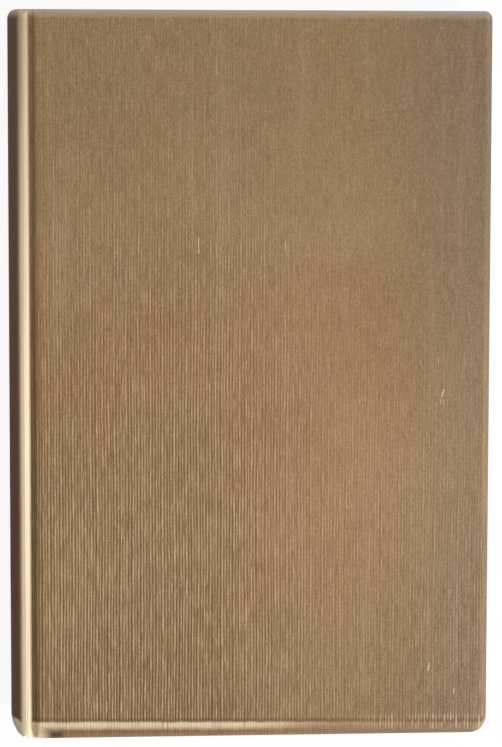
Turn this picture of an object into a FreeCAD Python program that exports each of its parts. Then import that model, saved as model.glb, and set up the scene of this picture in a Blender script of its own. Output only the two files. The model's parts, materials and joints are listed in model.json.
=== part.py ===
import FreeCAD, Part
import math
import os

from FreeCAD import Vector

# A cloth-bound hardback book, closed and lying on its back cover.
#
# The book is a case binding. Folded sections of leaves are sewn into a block whose back is rounded and
# backed: the folds lie on an arc, and the outer leaves turn out into a shoulder on each side. A case of two
# boards and a thin spine strip, all in one sheet of ribbed cloth, is hung on the block by gauze and endpapers.
#
# The cloth, the gauze and each endpaper are single sheets on the real book. Here they are parted at the two
# joints, because the covers turn there.
#
# Sizes are in millimetres. X runs from the spine to the fore-edge, Y from tail to head and Z from the back
# cover to the front cover. The origin is at the middle of the back cover's outer face. Sections across the
# book are drawn in x and w, where w is the height above the plane half-way through the book.

# Leaves
leaf_width = 133.0
leaf_height = 206.5
pages_thickness = 22.6
section_count = 12
section_dip = 0.3
endpaper_thickness = 0.2

# Shoulders of the block, where the outer leaves turn out
shoulder_rise = 2.0
shoulder_tip_radius = 0.7
shoulder_root_radius = 0.6

# Boards and how far the case stands out past the leaves
board_thickness = 2.4
head_and_tail_square = 2.9
fore_square = 3.0
board_to_joint = 0.9
board_outer_round = 1.8
board_spine_round = 0.8
head_corner_radius = 2.4
tail_corner_radius = 5.0

# Covering cloth
cloth_thickness = 0.4
turn_in_width = 15.0
joint_split = 0.1

# Ribs of the covers' cloth, the bolder one of each pair
rib_pitch = 1.736
rib_groove_width = 0.4
rib_groove_depth = 0.08
rib_end_margin = 3.0

# Spine of the case
spine_radius = 32.0
joint_setback = 6.7
ridge_radius = 1.6
ridge_drop = 0.2
joint_depth = 1.2
stiffener_thickness = 0.6
stiffener_edge_margin = 2.0
spine_head_radius = 2.4
spine_tail_radius = 6.0

# Back of the block: gauze, lining paper, thread and bands
gauze_thickness = 0.25
gauze_end_margin = 12.5
gauze_flange_width = 25.0
lining_thickness = 0.2
lining_end_margin = 2.0
lining_edge_margin = 2.4
stitch_row_count = 4
stitch_row_width = 0.8
stitch_row_depth = 0.9
stitch_row_end_margin = 16.0
fold_thread_width = 0.5
fold_thread_depth = 0.4
fold_thread_under = 0.1
band_bead_radius = 1.0
band_bead_sides = 8
band_tab_length = 9.0
band_edge_margin = 2.2

# Running clearances
cover_clearance = 0.2
hollow_clearance = 0.2
glue_film = 0.06
hinge_lift = 0.1

# How far cutting and clipping solids run past what they shape
overrun = 5.0

# Heights above the middle plane
half_pages = pages_thickness / 2
half_block = half_pages + endpaper_thickness
paste_face = half_block + cover_clearance
turn_in_face = paste_face + endpaper_thickness
board_inner_face = turn_in_face + cloth_thickness
board_outer_face = board_inner_face + board_thickness
half_thickness = board_outer_face + cloth_thickness
joint_floor = half_thickness - joint_depth

# Arcs of the spine, from the outside in
spine_cloth_inside = spine_radius - cloth_thickness
stiffener_inside = spine_cloth_inside - stiffener_thickness
cap_inside = stiffener_inside - cloth_thickness
lining_outside = cap_inside - hollow_clearance
lining_inside = lining_outside - lining_thickness
gauze_outside = lining_inside - glue_film
gauze_inside = gauze_outside - gauze_thickness
fold_radius = gauze_inside - glue_film

# Places along X, with the case centred on the origin
fold_to_centre = math.sqrt(fold_radius**2 - half_pages**2)
case_width = spine_radius - fold_to_centre + leaf_width + fore_square
case_height = leaf_height + 2 * head_and_tail_square
spine_back_x = -case_width / 2
cover_fore_x = case_width / 2
spine_centre_x = spine_back_x + spine_radius
fore_centre_x = spine_centre_x + leaf_width
joint_x = spine_back_x + joint_setback
board_spine_x = joint_x + board_to_joint
leaf_fore_x = cover_fore_x - fore_square


def point(x, w):
    """A point of a section across the book."""
    return Vector(x, 0, half_thickness + w)


def on_circle(centre, radius, degrees):
    """The point of a circle in the section plane at an angle from +X towards the front cover."""
    angle = math.radians(degrees)
    return centre + Vector(radius * math.cos(angle), 0, radius * math.sin(angle))


def bearing(start, end):
    """The angle of the line between two section points, in degrees."""
    return math.degrees(math.atan2(end.z - start.z, end.x - start.x))


def arc(centre, radius, start, end):
    """An arc edge between two angles in degrees."""
    middle = on_circle(centre, radius, (start + end) / 2)
    return Part.Arc(on_circle(centre, radius, start), middle, on_circle(centre, radius, end)).toShape()


def chain(*pieces):
    """Arcs and points, in order, as edges: the gaps between them are closed with straight lines."""
    edges = []
    ends = []
    for piece in pieces:
        if isinstance(piece, Vector):
            ends.append((piece, piece))
        else:
            edges.append(piece)
            ends.append((piece.Vertexes[0].Point, piece.Vertexes[-1].Point))
    for (_, leave), (reach, _) in zip(ends, ends[1:] + ends[:1]):
        if leave.distanceToPoint(reach) > 1e-6:
            edges.append(Part.makeLine(leave, reach))
    return edges


def extruded(edges, length, direction=Vector(0, 1, 0)):
    """The solid of a closed outline, centred along the direction it runs in."""
    wire = Part.Wire(Part.__sortEdges__(edges))
    solid = Part.Face(wire).extrude(direction * length)
    solid.translate(direction * (-length / 2))
    return solid


def block(x_range, y_range, w_range):
    """A box between two x, two y and two w."""
    sizes = [high - low for low, high in (x_range, y_range, w_range)]
    return Part.makeBox(*sizes, Vector(x_range[0], y_range[0], half_thickness + w_range[0]))


def mirrored(solid):
    """The same piece on the back cover's side."""
    return solid.mirror(Vector(0, 0, half_thickness), Vector(0, 0, 1))


def sector(inner, outer, half_angle, half_length):
    """Part of a tube about the spine's centre line, on the side away from the leaves."""
    centre = point(spine_centre_x, 0)
    start, end = 180 - half_angle, 180 + half_angle
    outline = chain(arc(centre, outer, start, end), arc(centre, inner, end, start))
    return extruded(outline, 2 * half_length)


def spine_angle(half_width, radius):
    """The half angle at which an arc of the spine reaches a height above the middle plane."""
    return math.degrees(math.asin(half_width / radius))


class JointLine:
    """The cloth's line over one ridge, down into the joint and up on to the board.

    Every arc is tangent to the next. inset is how far inside the cloth's outer face the line runs.
    """

    def __init__(self, inset):
        self.inset = inset
        ridge_w = half_thickness - ridge_drop - ridge_radius
        reach = spine_radius - ridge_radius
        self.spine = point(spine_centre_x, 0)
        self.ridge = point(spine_centre_x - math.sqrt(reach**2 - ridge_w**2), ridge_w)
        edge_radius = board_spine_round + cloth_thickness
        self.edge = point(board_spine_x + board_spine_round, half_thickness - edge_radius)
        self.edge_radius = edge_radius - inset
        ridge_side = self.dip(self.ridge, ridge_radius)
        board_side = self.dip(self.edge, edge_radius)
        self.ridge_dip = point(joint_x, joint_floor + ridge_side)
        self.board_dip = point(joint_x, joint_floor + board_side)
        self.ridge_dip_radius = ridge_side + inset
        self.board_dip_radius = board_side + inset

    @staticmethod
    def dip(round_centre, radius):
        """The radius of the hollow that is tangent to a rounded edge and to the joint's floor."""
        across = joint_x - round_centre.x
        up = half_thickness + joint_floor - round_centre.z
        return (across**2 + up**2 - radius**2) / (2 * (radius - up))

    def over_ridge(self):
        """From the middle of the spine, over the front ridge, to the floor of the joint."""
        leave = bearing(self.spine, self.ridge)
        drop = bearing(self.ridge, self.ridge_dip)
        return [
            arc(self.spine, spine_radius - self.inset, 180, leave),
            arc(self.ridge, ridge_radius - self.inset, leave, drop),
            arc(self.ridge_dip, self.ridge_dip_radius, drop + 180, 270),
        ]

    def on_to_board(self):
        """From the floor of the joint up on to the flat of the board."""
        climb = bearing(self.board_dip, self.edge)
        return [
            arc(self.board_dip, self.board_dip_radius, -90, climb),
            arc(self.edge, self.edge_radius, climb + 180, 90),
        ]


def plan_outline(inset, spine_x):
    """A cover's outline from above, with its two worn fore corners rounded."""
    fore = cover_fore_x - inset
    head = case_height / 2 - inset
    corners = ((head_corner_radius - inset, head), (tail_corner_radius - inset, -head))
    (head_radius, _), (tail_radius, _) = corners
    diagonal = math.sqrt(0.5)

    def corner(radius, y):
        side = math.copysign(1, y)
        centre = Vector(fore - radius, y - side * radius, 0)
        start = centre + Vector(0, side * radius, 0)
        middle = centre + Vector(diagonal * radius, side * diagonal * radius, 0)
        return Part.Arc(start, middle, centre + Vector(radius, 0, 0)).toShape()

    return chain(
        Vector(spine_x, -head, 0),
        corner(tail_radius, -head),
        Vector(fore, 0, 0),
        reversed_arc(corner(head_radius, head)),
        Vector(spine_x, head, 0),
    )


def reversed_arc(edge):
    """The same arc, running the other way."""
    first, last = edge.ParameterRange
    return Part.Arc(edge.valueAt(last), edge.valueAt((first + last) / 2), edge.valueAt(first)).toShape()


def rounded_slab(inset, w_range, outer_round, inner_round=0):
    """A cover-shaped plate, running on past the joint, with its three outer edges rounded."""
    low, high = w_range
    wire = Part.Wire(Part.__sortEdges__(plan_outline(inset, joint_x - overrun)))
    plate = Part.Face(wire).extrude(Vector(0, 0, high - low))
    plate.translate(Vector(0, 0, half_thickness + low))

    for height, radius in ((high, outer_round), (low, inner_round)):
        if not radius:
            continue
        level = half_thickness + height
        rim = [
            edge
            for edge in plate.Edges
            if abs(edge.BoundBox.ZMin - level) < 1e-4
            and abs(edge.BoundBox.ZMax - level) < 1e-4
            and edge.BoundBox.XMax > joint_x - overrun / 2
        ]
        plate = plate.makeFillet(radius, rim)
    return plate


def under(line_edges, start_x):
    """Everything on the block's side of a line that runs from the joint on to the board."""
    start = point(start_x, line_edges[0].Vertexes[0].Point.z - half_thickness)
    far = cover_fore_x + overrun
    top = line_edges[-1].Vertexes[-1].Point.z - half_thickness
    outline = chain(
        start, *line_edges, point(far, top), point(far, half_pages), point(start_x, half_pages)
    )
    return extruded(outline, case_height + 2 * overrun)


def make_board():
    """The front board: a plain plate of binder's board with softened edges."""
    inset = cloth_thickness
    slab = rounded_slab(inset, (board_inner_face, board_outer_face), board_outer_round)
    top_round = point(board_spine_x + board_spine_round, board_outer_face - board_spine_round)
    far = cover_fore_x + overrun
    section = chain(
        point(board_spine_x, board_inner_face),
        arc(top_round, board_spine_round, 180, 90),
        point(far, board_outer_face),
        point(far, board_inner_face),
    )
    return slab.common(extruded(section, case_height))


def rib_grooves():
    """The grooves between the ribs of the front cover, from head to tail over the flat of the board."""
    start = board_spine_x + board_spine_round + rib_groove_width
    end = cover_fore_x - board_outer_round - cloth_thickness - rib_groove_width
    groove = extruded(
        chain(
            point(start - rib_groove_width, half_thickness + rib_groove_depth),
            point(start, half_thickness - rib_groove_depth),
            point(start + rib_groove_width, half_thickness + rib_groove_depth),
        ),
        case_height - 2 * rib_end_margin,
    )
    count = int((end - start) / rib_pitch) + 1
    return [groove.translated(Vector(number * rib_pitch, 0, 0)) for number in range(count)]


def make_cover_cloth():
    """The cloth of the front cover: over the board, round its edges and turned in on the inside."""
    outer_round = board_outer_round + cloth_thickness
    slab = rounded_slab(0, (turn_in_face, half_thickness), outer_round, cloth_thickness)
    outside = slab.common(under(JointLine(0).on_to_board(), joint_x))
    core = rounded_slab(cloth_thickness, (board_inner_face, board_outer_face), board_outer_round)
    inside = core.common(under(JointLine(cloth_thickness).on_to_board(), joint_x - overrun))
    edge_y = case_height / 2 - turn_in_width
    window = block(
        (joint_x - overrun, cover_fore_x - turn_in_width), (-edge_y, edge_y), (half_pages, board_inner_face)
    )
    joint_gap = block(
        (joint_x - overrun, board_spine_x),
        (-case_height / 2, case_height / 2),
        (half_pages, board_inner_face),
    )
    split = block(
        (joint_x - overrun, joint_x + joint_split / 2),
        (-case_height, case_height),
        (half_pages, half_thickness + overrun),
    )
    return outside.cut([inside, window, joint_gap, split]).cut(rib_grooves())


def make_gauze_flange():
    """The strip of gauze glued to the inside of the front board."""
    half_length = leaf_height / 2 - gauze_end_margin
    return block(
        (board_spine_x, board_spine_x + gauze_flange_width),
        (-half_length, half_length),
        (board_inner_face - gauze_thickness, board_inner_face),
    )


def make_pastedown():
    """The half of the endpaper pasted inside the front cover. It steps over the turn-ins and the gauze."""
    paper = endpaper_thickness
    half_length = leaf_height / 2
    turn_in_x = cover_fore_x - turn_in_width
    turn_in_y = case_height / 2 - turn_in_width
    flange_x = board_spine_x + gauze_flange_width
    flange_y = leaf_height / 2 - gauze_end_margin
    flange_face = board_inner_face - gauze_thickness
    sheet = block((board_spine_x, leaf_fore_x), (-half_length, half_length), (paste_face, board_inner_face))
    turn_ins = block(
        (board_spine_x - overrun, leaf_fore_x + overrun),
        (-case_height, case_height),
        (turn_in_face, board_inner_face + overrun),
    ).cut(
        block(
            (board_spine_x - overrun, turn_in_x),
            (-turn_in_y, turn_in_y),
            (turn_in_face - overrun, board_inner_face + overrun),
        )
    )
    on_board = block(
        (flange_x + paper, turn_in_x - paper),
        (-turn_in_y + paper, turn_in_y - paper),
        (paste_face - overrun, board_inner_face - paper),
    )
    on_gauze = block(
        (board_spine_x - overrun, flange_x + paper),
        (-turn_in_y + paper, turn_in_y - paper),
        (paste_face - overrun, flange_face - paper),
    )
    gauze = block((board_spine_x - overrun, flange_x), (-flange_y, flange_y), (flange_face, board_inner_face))
    return sheet.cut(turn_ins).cut(on_board).cut(on_gauze).cut(gauze)


def shoulder_tip():
    """The centre of the rounded tip of the front shoulder."""
    w = half_pages + shoulder_rise - shoulder_tip_radius
    reach = fold_radius - shoulder_tip_radius
    return point(spine_centre_x - math.sqrt(reach**2 - w**2), w)


def shoulder_side():
    """The front shoulder from the flat of the leaves to the tip, as points and arcs."""
    tip = shoulder_tip()
    face_x = tip.x + shoulder_tip_radius
    root = point(face_x + shoulder_root_radius, half_pages + shoulder_root_radius)
    centre = point(spine_centre_x, 0)
    return [
        arc(root, shoulder_root_radius, 270, 180),
        arc(tip, shoulder_tip_radius, 0, bearing(centre, tip)),
    ]


def flipped(edges):
    """A run of arcs on the back side of the block, in the opposite order."""
    middle, across = Vector(0, 0, half_thickness), Vector(0, 0, 1)
    return [reversed_arc(edge.mirror(middle, across)) for edge in reversed(edges)]


def make_text_block():
    """The sewn sections as one solid: hollow fore-edge, two shoulders and a fold for each section."""
    centre = point(spine_centre_x, 0)
    start = bearing(centre, shoulder_tip())
    step = 2 * (180 - start) / section_count
    folds = []
    for number in range(section_count):
        first = start + number * step
        fold = Part.Arc(
            on_circle(centre, fold_radius - section_dip, first),
            on_circle(centre, fold_radius, first + step / 2),
            on_circle(centre, fold_radius - section_dip, first + step),
        )
        folds.append(fold.toShape())
    side = shoulder_side()
    fore_centre = point(fore_centre_x, 0)
    fore_angle = spine_angle(half_pages, fold_radius)
    fore_edge = arc(fore_centre, fold_radius, 180 + fore_angle, 180 - fore_angle)
    solid = extruded(chain(fore_edge, *side, *folds, *flipped(side)), leaf_height)
    return solid.cut(thread_path(overrun))


def thread_path(spare):
    """Where the thread runs: along inside every fold, and across the folds at each sewing station.

    spare is how far the rows across run on outwards past the folds.
    """
    centre = point(spine_centre_x, 0)
    half_angle = 180 - bearing(centre, shoulder_tip())
    inner = fold_radius - stitch_row_depth
    last = leaf_height / 2 - stitch_row_end_margin
    runs = []
    for number in range(stitch_row_count):
        row = sector(inner, fold_radius + spare, half_angle, stitch_row_width / 2)
        row.translate(Vector(0, -last + 2 * last * number / (stitch_row_count - 1), 0))
        runs.append(row)
    for number in range(section_count):
        half_width = fold_thread_width / 2
        depth = inner + fold_thread_under
        run = block((-depth - fold_thread_depth, -depth), (-last, last), (-half_width, half_width))
        run.translate(Vector(spine_centre_x, 0, 0))
        middle = (number + 0.5) / section_count
        run.rotate(centre, Vector(0, 1, 0), half_angle * (2 * middle - 1))
        runs.append(run)
    return runs[0].multiFuse(runs[1:])


def make_sewing_thread():
    """The one thread that holds the sections together, sewn all along through the folds."""
    return thread_path(0)


def make_flyleaf():
    """The free half of the front endpaper, lying on the leaves."""
    root_x = shoulder_tip().x + shoulder_tip_radius + shoulder_root_radius
    half_length = leaf_height / 2
    return block((root_x, leaf_fore_x), (-half_length, half_length), (half_pages, half_block))


def make_spine_gauze():
    """Open gauze glued over the folds and both shoulders."""
    centre = point(spine_centre_x, 0)
    tip = shoulder_tip()
    leave = bearing(centre, tip)
    inner_tip = shoulder_tip_radius + glue_film
    outer_tip = inner_tip + gauze_thickness
    foot = point(tip.x + inner_tip, half_pages + shoulder_root_radius)
    outer_foot = foot + Vector(gauze_thickness, 0, 0)
    inner_side = [arc(tip, inner_tip, 0, leave)]
    outer_side = [arc(tip, outer_tip, 0, leave)]
    middle, across = Vector(0, 0, half_thickness), Vector(0, 0, 1)
    outer = [
        outer_foot,
        *outer_side,
        arc(centre, gauze_outside, leave, 360 - leave),
        *flipped(outer_side),
        outer_foot.add(Vector(0, 0, -2 * (outer_foot.z - half_thickness))),
    ]
    inner_arc = arc(centre, gauze_inside, 360 - leave, leave)
    inner = [
        foot.add(Vector(0, 0, -2 * (foot.z - half_thickness))),
        *[reversed_arc(edge) for edge in reversed(flipped(inner_side))],
        inner_arc,
        *[reversed_arc(edge) for edge in reversed(inner_side)],
        foot,
    ]
    return extruded(chain(*outer, *inner), leaf_height - 2 * gauze_end_margin)


def make_spine_lining():
    """Brown lining paper over the gauze and the tabs of the two bands."""
    half_angle = spine_angle(half_thickness - lining_edge_margin, lining_outside)
    return sector(lining_inside, lining_outside, half_angle, leaf_height / 2 - lining_end_margin)


def make_headband():
    """A woven band at the head: a bead that sits on the leaves and a tab glued to the folds."""
    bead_track = fold_radius - band_bead_radius
    half_angle = spine_angle(half_thickness - band_edge_margin - band_bead_radius, bead_track)
    leaf_end = leaf_height / 2
    axis = point(spine_centre_x, 0) + Vector(0, leaf_end + band_bead_radius, 0)
    corners = []
    for number in range(band_bead_sides + 1):
        angle = 2 * math.pi * (number + 0.5) / band_bead_sides
        reach = band_bead_radius / math.cos(math.pi / band_bead_sides)
        corners.append(axis + Vector(-bead_track + reach * math.cos(angle), reach * math.sin(angle), 0))
    bead = Part.Face(Part.makePolygon(corners)).revolve(axis, Vector(0, 1, 0), 2 * half_angle)
    bead.rotate(axis, Vector(0, 1, 0), -half_angle)
    tab = sector(gauze_inside, gauze_outside, half_angle, band_tab_length / 2)
    tab.translate(Vector(0, leaf_end - band_tab_length / 2, 0))
    neck = sector(fold_radius - band_bead_radius / 2, gauze_outside, half_angle, band_bead_radius / 2)
    neck.translate(Vector(0, leaf_end + band_bead_radius / 2, 0))
    return bead.fuse(neck).fuse(tab).removeSplitter()


def spine_clip(inset):
    """What the case's spine may fill: rounded head and tail edges, and its two worn corners from above."""
    half_length = case_height / 2 - inset
    length = 2 * half_length
    far = joint_x + overrun
    reach = spine_back_x + inset
    radii = (spine_head_radius - inset, spine_tail_radius - inset)
    diagonal = 1 - math.sqrt(0.5)
    head_radius, tail_radius = radii
    plan = chain(
        Part.Arc(
            Vector(reach, -half_length + tail_radius, 0),
            Vector(reach + diagonal * tail_radius, -half_length + diagonal * tail_radius, 0),
            Vector(reach + tail_radius, -half_length, 0),
        ).toShape(),
        Vector(far, -half_length, 0),
        Vector(far, half_length, 0),
        Part.Arc(
            Vector(reach + head_radius, half_length, 0),
            Vector(reach + diagonal * head_radius, half_length - diagonal * head_radius, 0),
            Vector(reach, half_length - head_radius, 0),
        ).toShape(),
    )
    deep = 2 * (half_thickness - inset)
    from_above = Part.Face(Part.Wire(Part.__sortEdges__(plan))).extrude(Vector(0, 0, deep))
    from_above.translate(Vector(0, 0, inset))
    edge_round = board_outer_round + cloth_thickness - inset
    long_edges = Part.makeBox(
        far - reach + 2 * overrun, length, deep, Vector(reach - overrun, -half_length, inset)
    )
    rims = [
        edge
        for edge in long_edges.Edges
        if edge.BoundBox.XLength > overrun and edge.BoundBox.YLength < overrun
    ]
    return from_above.common(long_edges.makeFillet(edge_round, rims))


def stiffener_half_angle():
    """How far round the spine the stiffener reaches from the middle."""
    return spine_angle(half_thickness - stiffener_edge_margin, spine_radius)


def make_spine_stiffener():
    """The strip of card that keeps the case's spine round."""
    strip = sector(stiffener_inside, spine_cloth_inside, stiffener_half_angle(), case_height / 2)
    return strip.common(spine_clip(cloth_thickness))


def make_spine_cloth(stiffener):
    """The cloth from one joint, over its ridge and the spine, to the other joint, with its two caps."""
    outer = JointLine(0).over_ridge()
    inner = JointLine(cloth_thickness).over_ridge()
    outline = chain(
        *flipped(outer),
        *outer,
        *[reversed_arc(edge) for edge in reversed(inner)],
        *[reversed_arc(edge) for edge in reversed(flipped(inner))],
    )
    sheet = extruded(outline, case_height)
    half_angle = stiffener_half_angle() + math.degrees(cloth_thickness / spine_radius)
    lap = sector(cap_inside, spine_cloth_inside, half_angle, case_height / 2)
    hollow = sector(cap_inside - overrun, spine_cloth_inside, half_angle + 1, case_height / 2 - turn_in_width)
    split = block(
        (joint_x - joint_split / 2, joint_x + overrun),
        (-case_height, case_height),
        (-half_thickness - overrun, half_thickness + overrun),
    )
    cloth = sheet.fuse(lap.cut(hollow)).common(spine_clip(0))
    return cloth.cut(stiffener).cut(split)


def head_to_tail(solid):
    """The same piece at the tail."""
    return solid.mirror(Vector(0, 0, 0), Vector(0, 1, 0))


def build():
    """Every sub-part of the book by name."""
    board = make_board()
    cover_cloth = make_cover_cloth()
    pastedown = make_pastedown()
    flange = make_gauze_flange()
    flyleaf = make_flyleaf()
    headband = make_headband()
    stiffener = make_spine_stiffener()
    return {
        "front_board": board,
        "back_board": mirrored(board),
        "front_cloth": cover_cloth,
        "back_cloth": mirrored(cover_cloth),
        "front_pastedown": pastedown,
        "back_pastedown": mirrored(pastedown),
        "front_gauze_flange": flange,
        "back_gauze_flange": mirrored(flange),
        "front_flyleaf": flyleaf,
        "back_flyleaf": mirrored(flyleaf),
        "text_block": make_text_block(),
        "sewing_thread": make_sewing_thread(),
        "spine_gauze": make_spine_gauze(),
        "spine_lining": make_spine_lining(),
        "headband": headband,
        "tailband": head_to_tail(headband),
        "spine_stiffener": stiffener,
        "spine_cloth": make_spine_cloth(stiffener),
    }


os.makedirs("parts", exist_ok=True)
for name, shape in build().items():
    shape.exportStep(f"parts/{name}.step")
print(f"case {case_width:.2f} x {case_height:.2f} x {2 * half_thickness:.2f} mm")
print(f"covers turn at x {joint_x:.4f}, z {2 * half_thickness + hinge_lift:.4f} and z {-hinge_lift:.4f}")
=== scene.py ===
# %% [markdown]
# # A cloth-bound hardback book
# The book lies closed on its back cover and is seen from above. Its boards, leaves, bands and linings
# come from the CAD model, which gives every piece its size and place. This script dresses it: ribbed
# cloth folded over the boards and round the spine, strips of cloth and paper across the joints,
# and a finish for each material, with the wear that an old book has.

import json
import math

import bpy
import numpy as np
from mathutils import Matrix, Vector


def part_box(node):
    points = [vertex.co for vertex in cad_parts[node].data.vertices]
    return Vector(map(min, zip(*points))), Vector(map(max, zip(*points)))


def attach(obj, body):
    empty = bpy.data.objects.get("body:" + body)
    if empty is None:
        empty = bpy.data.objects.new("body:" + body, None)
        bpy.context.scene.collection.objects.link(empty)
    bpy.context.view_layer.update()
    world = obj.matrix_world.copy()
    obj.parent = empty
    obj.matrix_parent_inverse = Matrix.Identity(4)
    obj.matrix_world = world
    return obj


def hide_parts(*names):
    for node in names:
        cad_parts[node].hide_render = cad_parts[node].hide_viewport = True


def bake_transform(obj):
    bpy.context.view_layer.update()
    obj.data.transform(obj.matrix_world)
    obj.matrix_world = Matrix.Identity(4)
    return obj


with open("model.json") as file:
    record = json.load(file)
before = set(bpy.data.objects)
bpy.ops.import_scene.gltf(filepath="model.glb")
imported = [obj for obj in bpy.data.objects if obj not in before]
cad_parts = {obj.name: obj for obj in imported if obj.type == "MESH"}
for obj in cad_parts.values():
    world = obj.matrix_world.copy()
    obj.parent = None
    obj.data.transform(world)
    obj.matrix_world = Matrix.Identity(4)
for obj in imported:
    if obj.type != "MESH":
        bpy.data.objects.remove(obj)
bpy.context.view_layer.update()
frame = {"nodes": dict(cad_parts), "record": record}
MM = 0.001
print("nodes:", ", ".join(sorted(frame["nodes"])))

# %% [markdown]
# ## Camera
# The photograph looks almost straight down. The head of the book is a little wider than the tail, so
# the camera leans a few degrees. A long lens from 0.85 m gives the same mild perspective.

# %% Put the camera over the book
CAMERA_PLACE = (-0.06117, 0.07708, 0.85005)
CAMERA_TURN = (-0.09221, -0.0743, 0.00194)
bpy.ops.object.camera_add(location=CAMERA_PLACE, rotation=CAMERA_TURN)
camera = bpy.context.object
camera.data.lens = 136.87
camera.data.sensor_width = 36
camera.data.clip_end = 10
bpy.context.scene.camera = camera
print("camera", tuple(round(v, 3) for v in camera.location), "lens", camera.data.lens)

# %% [markdown]
# ## Light
# The ribs show because the strongest light is low. It comes from the tail corner at the fore-edge, so
# the spine and the joint lie in shade. A large soft lamp overhead keeps the colours plain. The floor
# and the world are white to the camera alone, so that white adds nothing to the light on the cloth,
# and the floor still takes a soft shadow.

# %% Lamps and world
LAMPS_LOOK_AT = Vector((0, 0, 0.02))


def lamp(name, place, size, watts):
    """A square lamp that looks at the middle of the book."""
    bpy.ops.object.light_add(type="AREA", location=place)
    light = bpy.context.object
    light.name = name
    light.rotation_euler = (LAMPS_LOOK_AT - Vector(place)).to_track_quat("-Z", "Y").to_euler()
    light.data.shape = "SQUARE"
    light.data.size = size
    light.data.energy = watts


lamp("low_key", (1.2, -0.9, 0.44), 0.45, 36)
lamp("overhead", (0.1, 0.3, 1.5), 1.0, 12)
bpy.context.scene.view_settings.view_transform = "Standard"
world = bpy.data.worlds.new("studio")
world.use_nodes = True
bpy.context.scene.world = world

# %% [markdown]
# ## Writing finishes as sums
# A finish is a material's node tree. `Value` stands for one socket, so that `1 - mask * 0.5` adds the
# Math nodes it needs. `Finish.node` adds any other node: its settings first, then what its sockets
# hold or are linked to.


# %% Value and Finish
class Value:
    """One output socket, with the usual sums on it."""

    def __init__(self, finish, socket):
        self.finish = finish
        self.socket = socket

    def sum(self, operation, *others, clamp=False):
        settings = {"operation": operation, "use_clamp": clamp}
        return self.finish.node("ShaderNodeMath", settings, [self, *others])

    def __add__(self, other):
        return self.sum("ADD", other)

    def __sub__(self, other):
        return self.sum("SUBTRACT", other)

    def __rsub__(self, other):
        return (self * -1) + other

    def __mul__(self, other):
        return self.sum("MULTIPLY", other)

    def size(self):
        return self.sum("ABSOLUTE")

    def between(self, start, end):
        """0 at start and before, 1 at end and after, smooth in between. start may be the larger."""
        settings = {"interpolation_type": "SMOOTHSTEP"}
        ports = {"Value": self, "From Min": start, "From Max": end, "To Min": 0.0, "To Max": 1.0}
        return self.finish.node("ShaderNodeMapRange", settings, ports, "Result")


class Finish:
    """A material made of nodes that read the place on the book, in metres."""

    def __init__(self, name):
        self.material = bpy.data.materials.new(name)
        self.material.use_nodes = True
        self.tree = self.material.node_tree
        self.shader = self.tree.nodes["Principled BSDF"]
        self.place = self.node("ShaderNodeTexCoord", {}, {}, "Object")
        self.x, self.y, self.z = (
            self.node("ShaderNodeSeparateXYZ", {}, {"Vector": self.place}, axis) for axis in "XYZ"
        )

    def node(self, kind, settings, ports, output=0):
        """Adds a node and returns one of its outputs as a Value."""
        node = self.tree.nodes.new(kind)
        for name, value in settings.items():
            setattr(node, name, value)
        for name, value in ports.items() if isinstance(ports, dict) else enumerate(ports):
            if isinstance(value, Value):
                self.tree.links.new(value.socket, node.inputs[name])
            else:
                node.inputs[name].default_value = value
        return Value(self, node.outputs[output])

    def noise(self, scale, detail=2.0, stretch=(1, 1, 1)):
        """Soft noise about 0.5, with the given number of swells to a metre."""
        point = self.node("ShaderNodeMapping", {}, {"Vector": self.place, "Scale": stretch})
        ports = {"Vector": point, "Scale": scale, "Detail": detail}
        return self.node("ShaderNodeTexNoise", {}, ports, "Fac")

    def blend(self, mask, under, over):
        """The colour over where mask is 1, and under where it is 0."""
        ports = {0: mask}
        for port, colour in ((6, under), (7, over)):
            ports[port] = colour if isinstance(colour, Value) else (*colour, 1)
        return self.node("ShaderNodeMix", {"data_type": "RGBA", "clamp_factor": True}, ports, 2)

    def plug(self, **ports):
        """Links values to the shader, or sets its sockets. Underscores stand for spaces."""
        for name, value in ports.items():
            socket = self.shader.inputs[name.replace("_", " ")]
            if isinstance(value, Value):
                self.tree.links.new(value.socket, socket)
            else:
                socket.default_value = value
        return self.material

    def relief(self, height, depth):
        """Bumps depth metres deep, from a height of 0 to 1."""
        ports = {"Strength": 1.0, "Distance": depth, "Height": height}
        return self.node("ShaderNodeBump", {}, ports, "Normal")


def srgb(red, green, blue):
    """A colour written as 0 to 255 on a screen, in the linear values that nodes use."""
    scaled = [channel / 255 for channel in (red, green, blue)]
    return tuple(c / 12.92 if c <= 0.04045 else ((c + 0.055) / 1.055) ** 2.4 for c in scaled)


# %% The world and the floor
def white_to_camera(tree, lit, output):
    """Shows plain white to the camera and through glass, and the lit finish to every other ray."""
    path = tree.nodes.new("ShaderNodeLightPath")
    seen = tree.nodes.new("ShaderNodeMath")
    seen.operation = "MAXIMUM"
    tree.links.new(path.outputs["Is Camera Ray"], seen.inputs[0])
    tree.links.new(path.outputs["Is Transmission Ray"], seen.inputs[1])
    is_world = output.type == "OUTPUT_WORLD"
    white = tree.nodes.new("ShaderNodeBackground" if is_world else "ShaderNodeEmission")
    white.inputs["Color"].default_value = (1, 1, 1, 1)
    mix = tree.nodes.new("ShaderNodeMixShader")
    tree.links.new(seen.outputs[0], mix.inputs[0])
    tree.links.new(lit.outputs[0], mix.inputs[1])
    tree.links.new(white.outputs[0], mix.inputs[2])
    tree.links.new(mix.outputs[0], output.inputs["Surface"])
    return mix, seen


SKY, SKY_STRENGTH = (0.95, 0.97, 1, 1), 0.32
FLOOR_COLOUR, FLOOR_ROUGHNESS = (0.86, 0.86, 0.86, 1), 0.9
FLOOR_WHITE = 0.9

tree = world.node_tree
sky = tree.nodes["Background"]
sky.inputs["Color"].default_value = SKY
sky.inputs["Strength"].default_value = SKY_STRENGTH
white_to_camera(tree, sky, tree.nodes["World Output"])

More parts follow.
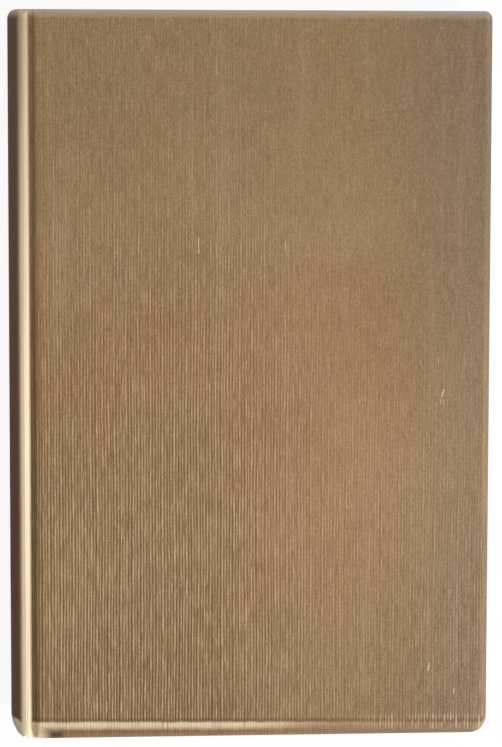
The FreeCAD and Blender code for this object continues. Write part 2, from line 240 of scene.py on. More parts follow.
bpy.ops.mesh.primitive_plane_add(size=6, location=(0, 0, -0.0002))
floor = bpy.context.object
floor.name = "floor"
paper_floor = bpy.data.materials.new("pale_floor")
paper_floor.use_nodes = True
tree = paper_floor.node_tree
lit = tree.nodes["Principled BSDF"]
lit.inputs["Base Color"].default_value = FLOOR_COLOUR
lit.inputs["Roughness"].default_value = FLOOR_ROUGHNESS
mix, seen = white_to_camera(tree, lit, tree.nodes["Material Output"])
share = tree.nodes.new("ShaderNodeMath")
share.operation = "MULTIPLY"
share.inputs[1].default_value = FLOOR_WHITE
tree.links.new(seen.outputs[0], share.inputs[0])
tree.links.new(share.outputs[0], mix.inputs[0])
floor.data.materials.append(paper_floor)
print("floor and world are white to the camera")

# %% [markdown]
# ## The section of the case
# The case is one sheet of cloth. Seen from the head, it runs from the middle of the spine over a
# ridge, down into the joint, up on to the board and round the fore-edge. Every bend is tangent to the
# next. `w` is the height above the plane half-way through the book, so the back half is the same line
# turned over.

# %% Bends of the section, in millimetres
low, high = (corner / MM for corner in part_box("front_cloth"))
FORE_X, HALF_HEIGHT, TOP = high.x, high.y, high.z
MIDDLE = TOP / 2
HALF = TOP - MIDDLE
SPINE_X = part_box("spine_cloth")[0].x / MM
BOARD_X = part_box("front_board")[0].x / MM
JOINT_SETBACK = 6.7
JOINT_X = SPINE_X + JOINT_SETBACK
BOARD, CLOTH = 2.4, 0.4
INNER = HALF - BOARD - 2 * CLOTH
SPINE_RADIUS = 32
RIDGE_RADIUS, RIDGE_DROP = 1.6, 0.2
BOARD_EDGE_RADIUS = 1.2
JOINT_DEPTH = 1.2
JOINT_FLOOR = HALF - JOINT_DEPTH
SPLIT = 2
EDGE_ROUND, INNER_ROUND = 2.2, 0.4
SAME = 1e-6


def bend(x, w, radius, start, end):
    """Points round an arc of the section."""
    count = max(4, int(abs(math.radians(end - start)) * radius / 0.08))
    angles = np.radians(np.linspace(start, end, count + 1))
    return np.stack([x + radius * np.cos(angles), w + radius * np.sin(angles)], axis=1)


class Line:
    """A run of the section that can be read by the length of cloth along it."""

    def __init__(self, *runs):
        points = np.concatenate(runs)
        step = np.linalg.norm(np.diff(points, axis=0), axis=1)
        apart = step > SAME
        self.points = points[np.concatenate([[True], apart])]
        self.reach = np.concatenate([[0], np.cumsum(step[apart])])
        self.length = self.reach[-1]

    def at(self, s):
        """The place in the section at each length in s."""
        return [np.interp(s, self.reach, self.points[:, column]) for column in (0, 1)]


def towards(centre, other):
    """The direction in degrees from one centre to another, where two tangent arcs meet."""
    return math.degrees(math.atan2(other[1] - centre[1], other[0] - centre[0])) % 360


def on_floor(neighbour, radius):
    """Centre and radius of the arc that lies on the joint's floor and touches a neighbouring arc."""
    run, rise = JOINT_X - neighbour[0], JOINT_FLOOR - neighbour[1]
    size = (run**2 + rise**2 - radius**2) / (2 * (radius - rise))
    return (JOINT_X, JOINT_FLOOR + size), size


def arc(centre, radius, start, end):
    """A bend on round numbers, so that the last digits of the frame's boxes don't reach the mesh."""
    return bend(*(round(c, 4) for c in centre), round(radius, 4), round(start, 3), round(end, 3))


spine_centre = (SPINE_X + SPINE_RADIUS, 0)
ridge_w = HALF - RIDGE_DROP - RIDGE_RADIUS
ridge_centre = (spine_centre[0] - math.sqrt((SPINE_RADIUS - RIDGE_RADIUS) ** 2 - ridge_w**2), ridge_w)
edge_centre = (BOARD_X + BOARD_EDGE_RADIUS - CLOTH, HALF - BOARD_EDGE_RADIUS)
ridge_side, ridge_side_radius = on_floor(ridge_centre, RIDGE_RADIUS)
board_side, board_side_radius = on_floor(edge_centre, BOARD_EDGE_RADIUS)
over_ridge = towards(spine_centre, ridge_centre)
down_ridge = towards(ridge_centre, ridge_side)
up_board = towards(board_side, edge_centre)
to_joint = Line(
    bend(*spine_centre, SPINE_RADIUS, 180, round(over_ridge, 3)),
    arc(ridge_centre, RIDGE_RADIUS, over_ridge, down_ridge),
    arc(ridge_side, ridge_side_radius, down_ridge + 180, 270 - SPLIT),
)
from_joint = Line(
    arc(board_side, board_side_radius, 270 + SPLIT, up_board),
    arc(edge_centre, BOARD_EDGE_RADIUS, up_board - 180, 90),
    [[FORE_X - EDGE_ROUND, HALF]],
)
print(f"cloth from spine to joint {to_joint.length:.1f} mm")
print(f"cloth from joint to fore-edge {from_joint.length:.1f} mm")

# %% [markdown]
# ## Ribs
# The cloth has a rib every 0.87 mm, from head to tail, and each second one stands a little higher.
# They wander slightly, as woven ribs do. A real rib is a tenth of a millimetre high, so it is made in
# the mesh, with four columns of faces to a rib, and the finer cross threads are left to the finish.

# %% The height of a rib, and a flat sheet with its folds
RIB = 0.868
RIB_HEIGHT = 0.105
SECOND_RIB = 0.12
STEP = RIB / 4
ROW = 5.5
NOTHING_CUT = np.array(False)


def ribs(s, t):
    """Height of the ribbed cloth from -1 to 1, at s across the ribs and t along them."""
    wander = 0.1 * np.sin(t / 19 + s / 23) + 0.08 * np.sin(t / 11 - s / 5.1)
    wander = wander + 0.07 * np.sin(s * 1.9 + t / 40)
    turn = 2 * np.pi * (s + wander) / RIB
    uneven = 0.7 + 0.3 * np.sin(s * 2.3 + 1.4 * np.sin(s * 0.37)) * np.sin(t / 45 + s * 7)
    return (np.cos(turn) * uneven + SECOND_RIB * np.cos(turn / 2)) / (1 + SECOND_RIB)


def smooth(value, start, end):
    """0 at start and before, 1 at end and after, smooth in between. start may be the larger."""
    share = np.clip((value - start) / (end - start), 0, 1)
    return share * share * (3 - 2 * share)


def crispness(x, y):
    """How crisp the ribs still are: handling has rubbed them flat towards the head and fore-edge."""
    along = 0.2 + 0.8 * smooth(y + 0.6 * np.maximum(x, 0), 88, -58)
    return along * (0.42 + 0.58 * smooth(x, 35, -15)) * (0.3 + 0.7 * smooth(y, -102.5, -100))


def spread(start, end, step):
    """Evenly spaced places from start to end, at most step apart."""
    return np.linspace(start, end, max(1, math.ceil(abs(end - start) / step - SAME)) + 1)


def rows_to_ends(middle, *runs):
    """Rows from tail to head: ROW apart up to middle, then each run's step apart up to its end."""
    starts = [middle, *[end for end, step in runs]]
    towards_tail = [spread(-end, -start, step) for start, (end, step) in zip(starts, runs)]
    towards_head = [spread(start, end, step) for start, (end, step) in zip(starts, runs)]
    spreads = [*towards_tail[::-1], spread(-middle, middle, ROW), *towards_head]
    return np.concatenate([spreads[0], *[places[1:] for places in spreads[1:]]])


def sheet(name, across, along, fold, rib_height=RIB_HEIGHT):
    """A flat grid with a column at each place across and a row at each place along, then folded.

    fold says where each point ends up, and which points lie outside the cloth and are cut off.
    """
    bpy.ops.object.select_all(action="DESELECT")
    columns, rows = len(across) - 1, len(along) - 1
    bpy.ops.mesh.primitive_grid_add(x_subdivisions=columns, y_subdivisions=rows, size=2)
    piece = bpy.context.object
    piece.name = piece.data.name = name
    mesh = piece.data
    flat = np.zeros(len(mesh.vertices) * 3, np.float32)
    mesh.vertices.foreach_get("co", flat)
    flat = flat.reshape(-1, 3)
    s = across[np.rint((flat[:, 0] + 1) / 2 * columns).astype(int)]
    t = along[np.rint((flat[:, 1] + 1) / 2 * rows).astype(int)]
    place, outside = fold(s, t)
    mesh.vertices.foreach_set("co", (place * MM).ravel())
    mesh.update()
    if rib_height:
        rib = ribs(s, t)
        normal = np.zeros(len(mesh.vertices) * 3, np.float32)
        mesh.vertex_normals.foreach_get("vector", normal)
        depth = rib_height * crispness(place[:, 0], place[:, 1]) * (rib - 1)
        place = place + normal.reshape(-1, 3) * depth[:, None]
        mesh.vertices.foreach_set("co", (place * MM).ravel())
        mesh.attributes.new("rib", "FLOAT", "POINT").data.foreach_set("value", rib.astype(np.float32))
    if outside.any():
        mesh.vertices.foreach_set("select", np.zeros(len(mesh.vertices), bool))
        mesh.edges.foreach_set("select", np.zeros(len(mesh.edges), bool))
        cut = [all(outside[v] for v in face.vertices) for face in mesh.polygons]
        mesh.polygons.foreach_set("select", cut)
        edit(piece, lambda: bpy.ops.mesh.delete(type="FACE"), keep=True)
    bpy.ops.object.shade_smooth()
    return piece


def edit(piece, *steps, keep=False):
    """Runs edit-mode steps on one piece, on all its faces or on those selected already."""
    bpy.ops.object.select_all(action="DESELECT")
    piece.select_set(True)
    bpy.context.view_layer.objects.active = piece
    bpy.context.tool_settings.mesh_select_mode = (False, False, True)
    bpy.ops.object.mode_set(mode="EDIT")
    if not keep:
        bpy.ops.mesh.select_all(action="SELECT")
    for step in steps:
        step()
    bpy.ops.object.mode_set(mode="OBJECT")


def thicken(piece, thickness):
    """Gives a sheet its thickness, away from its outer face."""
    bpy.ops.object.select_all(action="DESELECT")
    piece.select_set(True)
    bpy.context.view_layer.objects.active = piece
    bpy.ops.object.modifier_add(type="SOLIDIFY")
    piece.modifiers[-1].thickness = thickness * MM
    piece.modifiers[-1].offset = -1
    bpy.ops.object.modifier_apply(modifier=piece.modifiers[-1].name)


def turned_over(piece, name):
    """A copy of a piece for the back half, mirrored in the plane half-way through the book."""
    twin = piece.copy()
    twin.data = piece.data.copy()
    twin.name = twin.data.name = name
    bpy.context.collection.objects.link(twin)
    mirror = Matrix.Translation((0, 0, TOP * MM)) @ Matrix.Scale(-1, 4, (0, 0, 1))
    twin.data.transform(mirror)
    edit(twin, lambda: bpy.ops.mesh.flip_normals())
    return twin


# %% [markdown]
# ## The cover's cloth
# A binder cuts the cloth flat, glues it to the board, and turns it over the edges. The same is done
# here. `down` is the way that cloth takes past the start of the rounded edge: first outwards and
# down, then under. At a corner it goes the same way along the radius. Wear has shortened the tail of
# the case towards the back of the spine.

# %% Fold the cloth over a board
down = Line(
    bend(0, HALF - EDGE_ROUND, EDGE_ROUND, 90, 0),
    bend(EDGE_ROUND - INNER_ROUND, INNER + INNER_ROUND, INNER_ROUND, 0, -90),
)
HEAD_CORNER, TAIL_CORNER = 2.4, 5.0
CLOTH_SHEET = 0.28
WORN_WIDTH, WORN_BY = 10, 4


def worn_off(x, t):
    """How much shorter wear has made the tail of the case, most at the back of the spine."""
    backwards = np.clip(1 - (x - SPINE_X) / WORN_WIDTH, 0, 1)
    return np.where(t > 0, 0, WORN_BY * (1 - np.sqrt(1 - backwards**2)))


def drawn_back(x, y):
    """Draws the last 6 mm at the tail of a cloth in by as much as is worn off."""
    return y + worn_off(x, y) * smooth(-y, HALF_HEIGHT - 6, HALF_HEIGHT - 1)


def over_board(s, t):
    """Where the cover's cloth at s from the joint and t from the middle of the book ends up."""
    corner = np.where(t > 0, HEAD_CORNER, TAIL_CORNER) - EDGE_ROUND
    turn_s = from_joint.length - corner
    turn_t = HALF_HEIGHT - EDGE_ROUND - corner
    past_s = np.maximum(s - turn_s, 0)
    past_t = np.maximum(np.abs(t) - turn_t, 0)
    past = np.hypot(past_s, past_t)
    beyond = np.clip(past - corner, 0, down.length)
    out, w = down.at(beyond)
    radius = np.where(past > corner, corner + out, past)
    safe = np.maximum(past, 1e-9)
    base_x, level = from_joint.at(np.minimum(s, turn_s))
    x = base_x + radius * past_s / safe
    y = np.sign(t) * (np.minimum(np.abs(t), turn_t) + radius * past_t / safe)
    w = INNER + (w - INNER) * (level - INNER) / (HALF - INNER)
    place = np.stack([x, drawn_back(x, y), MIDDLE + w], axis=1)
    return place, past > corner + down.length + SAME


edge_rows = HALF_HEIGHT - EDGE_ROUND
round_edge = edge_rows + 3.4
wrapped = edge_rows + down.length
along = rows_to_ends(edge_rows - 6, (edge_rows, 1.0), (round_edge, 0.45), (wrapped, 0.35))
across = spread(0, from_joint.length + down.length, STEP)
front_cloth = sheet("front_cover_cloth", across, along, over_board)
thicken(front_cloth, CLOTH_SHEET)
back_cloth = turned_over(front_cloth, "back_cover_cloth")
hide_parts("front_cloth")
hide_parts("back_cloth")
print("cover cloth faces:", len(front_cloth.data.polygons))

# %% [markdown]
# ## Turn-ins
# Inside the cover the cloth is turned in by 15 mm, with mitred corners, and the endpaper is pasted
# over it. The strips are made flat in place, and the ends of their rows follow the mitre.

# %% Three turned-in strips
TURN_IN = 15.0
TURN_IN_SHEET = 0.36


def corner_reach(s, corner):
    """How far the rounded corner of a turn-in reaches along Y at s, from its centre."""
    reach = corner - INNER_ROUND
    into = np.clip(s - (FORE_X - corner), 0, reach)
    return np.sqrt(np.maximum(reach**2 - into**2, 0))


def under_board(end):
    """The strip at the head (1) or tail (-1): s runs along X, and t from 0 at the edge to 1 inside."""
    corner = HEAD_CORNER if end > 0 else TAIL_CORNER

    def fold(s, t):
        outer = HALF_HEIGHT - corner + corner_reach(s, corner)
        inner = HALF_HEIGHT - np.minimum(TURN_IN, FORE_X - s)
        y = outer + (np.minimum(inner, outer) - outer) * t
        place = np.stack([s, end * y, np.full_like(s, MIDDLE + INNER)], axis=1)
        return place, NOTHING_CUT

    return fold


def under_fore_edge(s, t):
    """The strip at the fore-edge, with both its ends on the mitres."""
    corner = np.where(t > 0, HEAD_CORNER, TAIL_CORNER)
    limit = HALF_HEIGHT - corner + corner_reach(s, corner)
    y = np.clip(t * (HALF_HEIGHT - (FORE_X - s)), -limit, limit)
    place = np.stack([s, y, np.full_like(s, MIDDLE + INNER)], axis=1)
    return place, NOTHING_CUT


def faces_inwards(piece):
    """Turns a flat strip's faces to the leaves."""
    if piece.data.polygons[0].normal.z > 0:
        edit(piece, lambda: bpy.ops.mesh.flip_normals())


strips = []
for name, start, rows, fold in (
    ("head", BOARD_X, spread(0, 1, 0.2), under_board(1)),
    ("tail", BOARD_X, spread(0, 1, 0.2), under_board(-1)),
    ("fore", FORE_X - TURN_IN, spread(-1, 1, 0.04), under_fore_edge),
):
    columns = spread(start, FORE_X - INNER_ROUND, STEP)
    strip = sheet(f"front_turn_in_{name}", columns, rows, fold, rib_height=0.0)
    faces_inwards(strip)
    thicken(strip, TURN_IN_SHEET)
    strips.append(strip)
    strips.append(turned_over(strip, f"back_turn_in_{name}"))
print("turn-ins:", [strip.name for strip in strips])

# %% [markdown]
# ## The spine's cloth
# One sheet goes from the front joint over the ridge, round the spine and over the other ridge. At the
# head and tail it is turned over the stiffener, which makes a small rounded cap, and goes 14 mm down
# inside. Standing on a shelf has worn the caps: they are pressed in until they meet the leaves, and
# what stood out further has gone.

# %% Fold the cloth round the spine
round_spine = Line(to_joint.points[::-1] * [1, -1], to_joint.points[1:])
CAP, JOINT_CAP = 0.7, 0.35
CAP_TURN_IN = 14
CAP_ROW = HALF_HEIGHT - CAP
PRESSED_IN = 1.2
WORN_HEAD, WORN_TAIL = 2.4, 6.0


def edge_ceiling(y):
    """How high the section may reach at y, where the ends of the case are rounded."""
    rim = np.maximum(EDGE_ROUND - (HALF_HEIGHT - y), 0)
    return HALF - (EDGE_ROUND - np.sqrt(np.maximum(EDGE_ROUND**2 - rim**2, 0)))


def round_the_spine(s, t):
    """Where the spine's cloth ends up: s from the back joint round to the front joint."""
    x, w = round_spine.at(s)
    ahead, behind = round_spine.at(s + 0.05), round_spine.at(s - 0.05)
    tangent = np.stack([ahead[0] - behind[0], ahead[1] - behind[1]], axis=1)
    tangent /= np.linalg.norm(tangent, axis=1)[:, None]
    normal = np.stack([-tangent[:, 1], tangent[:, 0]], axis=1)
    worn = np.where(t > 0, WORN_HEAD, WORN_TAIL)
    on_spine = smooth(x, -66.0, -67.0)
    give = PRESSED_IN * on_spine
    from_back = np.clip(worn - (x - SPINE_X) - give, 0, worn)
    end_y = HALF_HEIGHT - np.maximum(worn - np.sqrt(worn**2 - from_back**2), worn_off(x + give, t))
    cap = JOINT_CAP + (CAP - JOINT_CAP) * on_spine
    size = np.abs(t)
    bending = np.clip((size - CAP_ROW) / (np.pi * CAP), 0, 1) * np.pi
    y = np.where(size < CAP_ROW, size / CAP_ROW * (end_y - cap), end_y - cap + cap * np.sin(bending))
    y = y - np.maximum(size - CAP_ROW - np.pi * CAP, 0) * (0.04 + 0.96 * on_spine)
    depth = cap * (1 - np.cos(bending))
    ceiling = edge_ceiling(np.where(bending > np.pi / 2, end_y, y))
    lowered = np.sign(w) * np.minimum(np.abs(w), ceiling)
    from_end = np.clip(worn - (HALF_HEIGHT - y), 0, worn)
    pressed = np.clip(SPINE_X + worn - np.sqrt(worn**2 - from_end**2) - x, 0, give)
    x = x + pressed - normal[:, 0] * depth
    place = np.stack([x, np.sign(t) * y, MIDDLE + lowered - normal[:, 1] * depth], axis=1)
    return place, NOTHING_CUT


def trim(piece):
    """Takes a piece back to the length of the case."""
    places = np.zeros(len(piece.data.vertices) * 3, np.float32)
    piece.data.vertices.foreach_get("co", places)
    limit = (HALF_HEIGHT - 0.01) * MM
    places[1::3] = np.clip(places[1::3], -limit, limit)
    piece.data.vertices.foreach_set("co", places)


turned = CAP_ROW + np.pi * CAP
along = rows_to_ends(CAP_ROW - 8, (CAP_ROW, 0.6), (turned, 0.3), (turned + CAP_TURN_IN, 7))
across = spread(0, round_spine.length, STEP)
spine_cloth = sheet("spine_ribbed_cloth", across, along, round_the_spine)
thicken(spine_cloth, CLOTH_SHEET)
trim(spine_cloth)
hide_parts("spine_cloth")
print("spine cloth faces:", len(spine_cloth.data.polygons))

# %% [markdown]
# ## What bends at a joint
# Each cover turns about a line just above its joint. On the real book the cloth outside and the
# endpaper inside are whole, and bend there. A narrow strip of each is made across the joint. It
# follows the leaves on one side and the cover on the other.


# %% Strips across the joints
def hinge_strip(name, line, half_length, thickness, lift, rib_height):
    """A strip along the front joint, from a line of its section."""

    def fold(s, t):
        x, w = line.at(s)
        level = MIDDLE + np.minimum(w + lift, edge_ceiling(np.abs(t)))
        return np.stack([x, drawn_back(x, t), level], axis=1), NOTHING_CUT

    rows = rows_to_ends(half_length - 3, (half_length, 0.5))
    strip = sheet(name, spread(0, line.length, 0.1), rows, fold, rib_height)
    thicken(strip, thickness)
    return strip


across_joint = Line(
    arc(ridge_side, ridge_side_radius, 232, 270),
    arc(board_side, board_side_radius, 270, 330),
)
inside_joint = Line(
    [[-63.3, 11.35]],
    bend(-63.0, 13.05, 0.3, 180, 0),
    bend(-62.5, 12.02, 0.2, 180, 270),
    [[-62.2, 11.8]],
)
hinges = []
for name, line, half_length, thickness, lift, rib_height in (
    ("cloth_hinge", across_joint, HALF_HEIGHT - 0.25, 0.3, 0.02, 0.03),
    ("endpaper_hinge", inside_joint, 103.2, 0.12, 0, 0),
):
    front = hinge_strip(f"front_{name}", line, half_length, thickness, lift, rib_height)
    back = turned_over(front, f"back_{name}")
    hinges += [front, back]
print("hinge strips:", [strip.name for strip in hinges])

# %% [markdown]
# ## Cloth finish
# The cloth is a dull brown, faded in soft patches. It is rubbed down to pale thread on the ridge
# beside the joint, along the tail edge and at the tail corners. Painted shade darkens the joint, the
# spine, the rib grooves and the tail and fore-edges, with a painted shadow under the worn tail corner,
# and painted highlights lighten the rib crowns, the head edge and the spine side of the ridge. All of
# it is painted by place, in metres, so it stays where the photograph has it.

# %% Ribbed brown cloth, its fading and its threads, with painted highlight on the rib crowns and painted shade in the grooves
cloth = Finish("ribbed_brown_cloth")
x, y, down_page = cloth.x, cloth.y, cloth.y * -1
rib = cloth.node("ShaderNodeAttribute", {"attribute_name": "rib"}, {}, "Fac")
patches = cloth.noise(14, 3.0)
cloudy = cloth.noise(45, 4.0, (1.0, 0.6, 1.0))
streaks = cloth.noise(220, 3.0, (1.0, 0.05, 1.0))
strands = cloth.noise(1150, 2.0, (1.7, 0.13, 1.7))
threads = cloth.noise(1150, 2.0, (1.0, 0.3, 1.0))
speckle = cloth.noise(2600, 2.0)
along = (down_page - x.sum("MAXIMUM", 0.0) * 0.6).between(-0.088, 0.058) * 0.8 + 0.2
crisp = along * (x.between(0.035, -0.015) * 0.58 + 0.42)
crisp = crisp * (down_page.between(0.1025, 0.1) * 0.6 + 0.4)

brown = cloth.blend(patches.between(0.35, 0.65), srgb(146, 113, 77), srgb(158, 126, 88))
brown = cloth.blend(cloudy.between(0.4, 0.7) * 0.35, brown, srgb(156, 122, 97))
brown = cloth.blend(y.between(-0.005, 0.09) * 0.6, brown, srgb(118, 96, 68))
low_down = x.between(0.0, 0.04) * down_page.between(0.02, 0.07) * 0.2
low_down = down_page.between(0.055, 0.1) * 0.2 + low_down
brown = cloth.blend(low_down, brown, srgb(110, 86, 62))
brown = cloth.blend(x.between(0.035, 0.07) * 0.55, brown, srgb(124, 109, 91))
brown = cloth.blend(x.between(0.02, 0.07) * y.between(-0.03, 0.09) * 0.4, brown, srgb(100, 86, 66))
# Painted highlight on the rib crowns and painted shade in the rib grooves, strongest where the ribs
# are crispest.
rib_crown_highlight = rib.between(0.0, 0.9) * (strands.between(0.65, 0.35) * 0.5 + threads.between(0.4, 0.7) * 0.5)
brown = cloth.blend(rib_crown_highlight * crisp * 0.85, brown, srgb(212, 182, 146))
rib_groove_shade = rib.between(0.2, -0.7) * (strands.between(0.75, 0.35) * 0.5 + 0.5)
brown = cloth.blend(rib_groove_shade * crisp, brown, srgb(86, 58, 34))
brown = cloth.blend(streaks.between(0.5, 0.8) * 0.2, brown, srgb(176, 150, 120))
brown = cloth.blend(strands.between(0.5, 0.72) * (crisp * 0.3 + 0.15), brown, srgb(100, 72, 48))
brown = cloth.blend(strands.between(0.5, 0.3) * (crisp * 0.25 + 0.1), brown, srgb(190, 158, 122))
brown = cloth.blend(speckle.between(0.48, 0.72) * 0.36, brown, srgb(100, 74, 50))
brown = cloth.blend(speckle.between(0.5, 0.26) * 0.26, brown, srgb(196, 166, 130))


# %% Pale scratches
SCRATCH_TAPER = 0.4


def scratch(x1, y1, x2, y2, strength):
    """A pale scratch between two places in millimetres, the first nearer the head."""
    slope = (x2 - x1) / (y2 - y1)
    off = (x - (y * slope + (x1 - slope * y1) * MM)).size()
    tail_end = y.between(y2 * MM, (y2 + SCRATCH_TAPER) * MM)
    head_end = y.between(y1 * MM, (y1 - SCRATCH_TAPER) * MM)
    return off.between(0.00022, 0.00008) * tail_end * head_end * strength


scratches = scratch(56.7, -3.6, 55.8, -6.3, 0.9)
for mark in (
    (55.6, -6.5, 55.6, -8.3, 0.35), (56.5, -6.5, 56.6, -8.6, 0.35), (54.9, 5.9, 54.9, 3.4, 0.3),
    (49.6, 5.5, 49.7, 3.5, 0.3), (52.9, -84.5, 52.6, -87.3, 0.8), (60.3, -92.3, 60.2, -94.3, 0.6),
    (-15.3, 41.0, -15.2, 35.8, 0.45), (10.0, 39.5, 10.1, 37.0, 0.3), (-42.2, -95.0, -42.1, -98.6, 0.5),
):
    scratches = scratches.sum("MAXIMUM", scratch(*mark))
brown = cloth.blend(scratches, brown, srgb(222, 198, 164))

# %% Painted shade on the spine, in the joint and along the edges, and a painted highlight on the head edge
on_spine = x.between(-0.0662, -0.0682)
colour = cloth.blend(on_spine * 0.88, brown, srgb(90, 52, 32))
# Painted shade in the joint's crease, beside the ridge.
joint_shade = x.between(-0.0647, -0.0637) * x.between(-0.0588, -0.0634)
joint_shade = joint_shade * (down_page.between(-0.1, 0.0) * 0.4 + 0.05)
colour = cloth.blend(joint_shade, colour, srgb(84, 60, 38))
# Painted highlight along the rounded head edge.
head_edge_highlight = y.between(0.1032, 0.106)
colour = cloth.blend(head_edge_highlight * 0.75, colour, srgb(204, 184, 170))
# Painted shade along the rounded fore-edge.
colour = cloth.blend(x.between(0.0684, 0.0696) * 0.5, colour, srgb(92, 70, 52))
ragged = cloth.noise(400, 4.0) * 0.0008 - 0.0004
slant = x * 0.012 + ragged + 0.0007
from_tail = down_page - slant
# Painted shade along the tail edge: a line before the rubbed rim, and the steep underside of its
# rounding.
tail_edge_shade = from_tail.between(0.0994, 0.1004) * from_tail.between(0.1016, 0.1008)
tail_edge_shade = tail_edge_shade.sum("MAXIMUM", from_tail.between(0.1026, 0.104))
colour = cloth.blend(tail_edge_shade * 0.5, colour, srgb(96, 70, 46))
# Painted shadow: a dark spot in the gap under the worn tail corner.
stain_and_shadow = (x + 0.0568).size().between(0.0028, 0.0008) * down_page.between(0.1036, 0.1044)
colour = cloth.blend(stain_and_shadow * 0.85, colour, srgb(58, 46, 34))

# %% Wear down to pale thread
fading = from_tail + x.between(-0.005, 0.03) * 0.0009
tail_rub = from_tail.between(0.1006, 0.1015) * fading.between(0.1037, 0.1019)
tail_rub = tail_rub * (x.between(0.025, -0.005) * 0.65 + 0.25) * x.between(0.062, 0.03)
for nick in (-0.0258, -0.0243, -0.0017):
    tail_rub = tail_rub * ((x - nick).size().between(0.0001, 0.0004) * 0.6 + 0.4)
off_middle = (cloth.z - MIDDLE * MM).size()
round_back = off_middle.between(0.003, 0.0105) * 0.75 + 0.25
frayed = down_page.between(0.0995, 0.101) * down_page.between(0.105, 0.1035) * x.between(0.02, 0.05)
frayed = frayed * rib.between(-0.2, 0.6) * threads.between(0.35, 0.6) * 0.6
tail_rub = tail_rub.sum("MAXIMUM", frayed)
ridge = x.between(-0.0679, -0.066) * x.between(-0.0636, -0.0644)
ridge = ridge * off_middle.between(0.0122, 0.0142)
ridge = ridge * (down_page.between(-0.104, -0.03) * 0.3 + 0.7)
corner = x.between(-0.0582, -0.0625) * from_tail.between(0.1006, 0.1015)
tail_rub = tail_rub.sum("MAXIMUM", corner * 0.8) * round_back
wear = ridge.sum("MAXIMUM", tail_rub)
wear = wear * (streaks.between(0.2, 0.6) * 0.3 + 0.7)
# The ridge's pale wear is painted brighter on its spine side, a painted highlight where the lamps
# leave that side in shade.
pale = cloth.blend(x.between(-0.0664, -0.0652) * ridge, srgb(252, 236, 202), srgb(224, 202, 164))
pale = cloth.blend(ridge, srgb(214, 194, 158), pale)
# The pale wear is painted duller and greyer towards the head.
duller_pale = cloth.blend(0.5, pale, srgb(170, 150, 126))
pale = cloth.blend(y.between(-0.02, 0.09), pale, duller_pale)
colour = cloth.blend(wear, colour, pale)
height = threads * 0.6 + speckle * 0.4
cloth_material = cloth.plug(
    Base_Color=colour,
    Roughness=0.86 - wear * 0.1,
    Normal=cloth.relief(height, 0.00006),
    Specular_IOR_Level=0.2,
    Sheen_Weight=0.05,
    Sheen_Roughness=0.5,
)
print("cloth finish has", len(cloth.tree.nodes), "nodes")

# %% [markdown]
# ## Paper, board, gauze and thread
# The edges of the leaves are cut paper: hair lines that run level, darker where dust has settled. The
# endpapers are plain cream paper with faint fibres. Board is grey and mealy, the lining is brown
# wrapping paper, and gauze is an open weave.

# %% Finishes for what is inside
leaves = Finish("cut_leaves")
lines = leaves.noise(7500, 3.0, (0.004, 0.004, 1.0))
swell = leaves.noise(420, 2.0, (0.03, 0.03, 1.0))
stain_and_shadow = leaves.noise(40, 3.0)
paper_colour = leaves.blend(lines.between(0.35, 0.65), srgb(178, 163, 134), srgb(218, 207, 182))
paper_colour = leaves.blend(swell.between(0.45, 0.75) * 0.5, paper_colour, srgb(170, 152, 120))
paper_colour = leaves.blend(stain_and_shadow.between(0.5, 0.8) * 0.3, paper_colour, srgb(156, 136, 103))
leaves_material = leaves.plug(
    Base_Color=paper_colour,
    Roughness=0.9,
    Specular_IOR_Level=0.2,
    Normal=leaves.relief(lines, 0.00008),
)

endpaper = Finish("cream_endpaper")
fibre = endpaper.noise(900, 4.0, (1.0, 0.5, 1.0))
toned = endpaper.noise(25, 3.0)
edge_tone = endpaper.y.size().between(0.085, 0.104) * 0.3
paper_colour = endpaper.blend(fibre.between(0.3, 0.7), srgb(208, 192, 158), srgb(220, 206, 177))
aged = toned.between(0.45, 0.75) * 0.4 + edge_tone
paper_colour = endpaper.blend(aged, paper_colour, srgb(194, 170, 130))
endpaper_material = endpaper.plug(
    Base_Color=paper_colour,
    Roughness=0.88,
    Specular_IOR_Level=0.25,
    Normal=endpaper.relief(fibre, 0.00002),
)

board = Finish("grey_board")
meal = board.noise(1400, 4.0)
board_material = board.plug(
    Base_Color=board.blend(meal.between(0.3, 0.7), srgb(112, 102, 88), srgb(146, 134, 116)),
    Roughness=0.92,
    Normal=board.relief(meal, 0.00006),
)

kraft = Finish("brown_lining_paper")
meal = kraft.noise(700, 4.0, (1.0, 0.2, 1.0))
kraft_material = kraft.plug(
    Base_Color=kraft.blend(meal.between(0.3, 0.7), srgb(140, 104, 66), srgb(168, 130, 88)),
    Roughness=0.85,
    Normal=kraft.relief(meal, 0.00003),
)

gauze = Finish("open_gauze")
weft = gauze.noise(1500, 1.0, (0.05, 1.0, 0.05))
warp = gauze.noise(1500, 1.0, (1.0, 0.05, 1.0))
net = weft.sum("MAXIMUM", warp)
gauze_material = gauze.plug(
    Base_Color=gauze.blend(net.between(0.4, 0.65), srgb(176, 158, 124), srgb(224, 212, 182)),
    Roughness=0.92,
    Normal=gauze.relief(net, 0.0001),
)

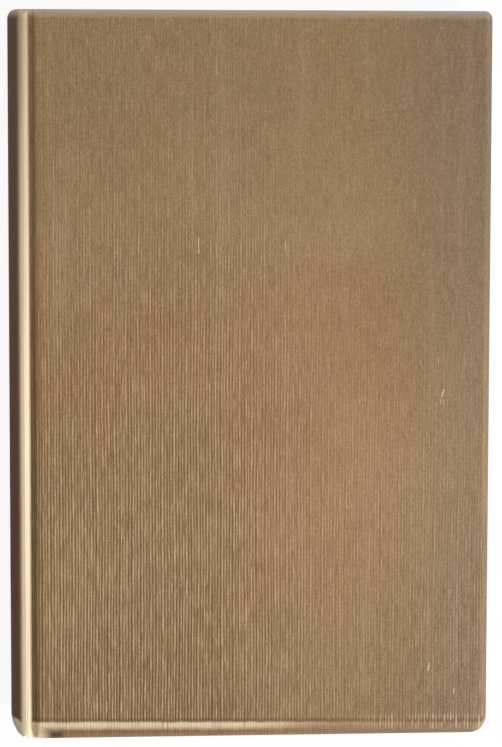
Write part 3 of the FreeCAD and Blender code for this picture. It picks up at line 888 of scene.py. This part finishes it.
thread = Finish("linen_thread")
twist = thread.noise(2500, 2.0, (1.0, 0.3, 1.0))
thread_material = thread.plug(
    Base_Color=thread.blend(twist.between(0.3, 0.7), srgb(198, 184, 154), srgb(228, 218, 194)),
    Roughness=0.8,
    Normal=thread.relief(twist, 0.00005),
)

STRIPE = 2.2 * MM
band = Finish("striped_band")
turn = band.z * (2 * math.pi / STRIPE)
stripe = turn.sum("SINE").between(-0.15, 0.15)
twist = band.noise(3000, 2.0, (1.0, 1.0, 0.3))
striped = band.blend(stripe, srgb(214, 198, 160), srgb(120, 76, 48))
band_material = band.plug(
    Base_Color=band.blend(twist.between(0.4, 0.8) * 0.3, striped, srgb(90, 70, 48)),
    Roughness=0.7,
    Normal=band.relief(twist, 0.0001),
)
print("finishes:", [material.name for material in bpy.data.materials])

# %% [markdown]
# ## Put it together
# Every CAD piece keeps its form and gets its finish. The cloth of the covers and the spine, and the
# turn-ins, ride on the body that carries them: the leaves' block, or one of the covers. The strips
# across the joints get their finish.

# %% Give each piece its finish, and the cover cloth, spine cloth and turn-ins their body
finish_of = {
    "board": board_material,
    "card": kraft_material,
    "leaves": leaves_material,
    "endpaper": endpaper_material,
    "lining_paper": kraft_material,
    "gauze": gauze_material,
    "thread": thread_material,
    "band": band_material,
    "cloth": cloth_material,
}
slot_of = {part["node"]: part["material_slot"] for part in frame["record"]["subparts"]}
for node, piece in frame["nodes"].items():
    piece.data.materials.clear()
    piece.data.materials.append(finish_of[slot_of[node]])

bodies = {"front": "front_cover", "back": "back_cover", "spine": "block"}
for piece in [front_cloth, back_cloth, spine_cloth, *strips]:
    piece.data.materials.append(cloth_material)
    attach(piece, bodies[piece.name.split("_")[0]])
for piece in (front_cloth, back_cloth):
    side = piece.name.split("_")[0]
bending_x = {"cloth": (-0.0638, -0.0631), "endpaper": (-0.06325, -0.06275)}
for piece in hinges:
    side, kind = piece.name.split("_")[:2]
    piece.data.materials.append(finish_of[kind])
    level = {"front": TOP, "back": 0}[side] * MM
    start, end = bending_x[kind]
    ends = [("block", (start, 0, level)), (f"{side}_cover", (end, 0, level))]
    # A half turn can go either way round: the bodies are put in the order that takes the strip round
    # the joint, though nothing here uses that order.
    (body, start), (other, end) = reversed(ends) if side == "front" else ends
    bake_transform(piece)
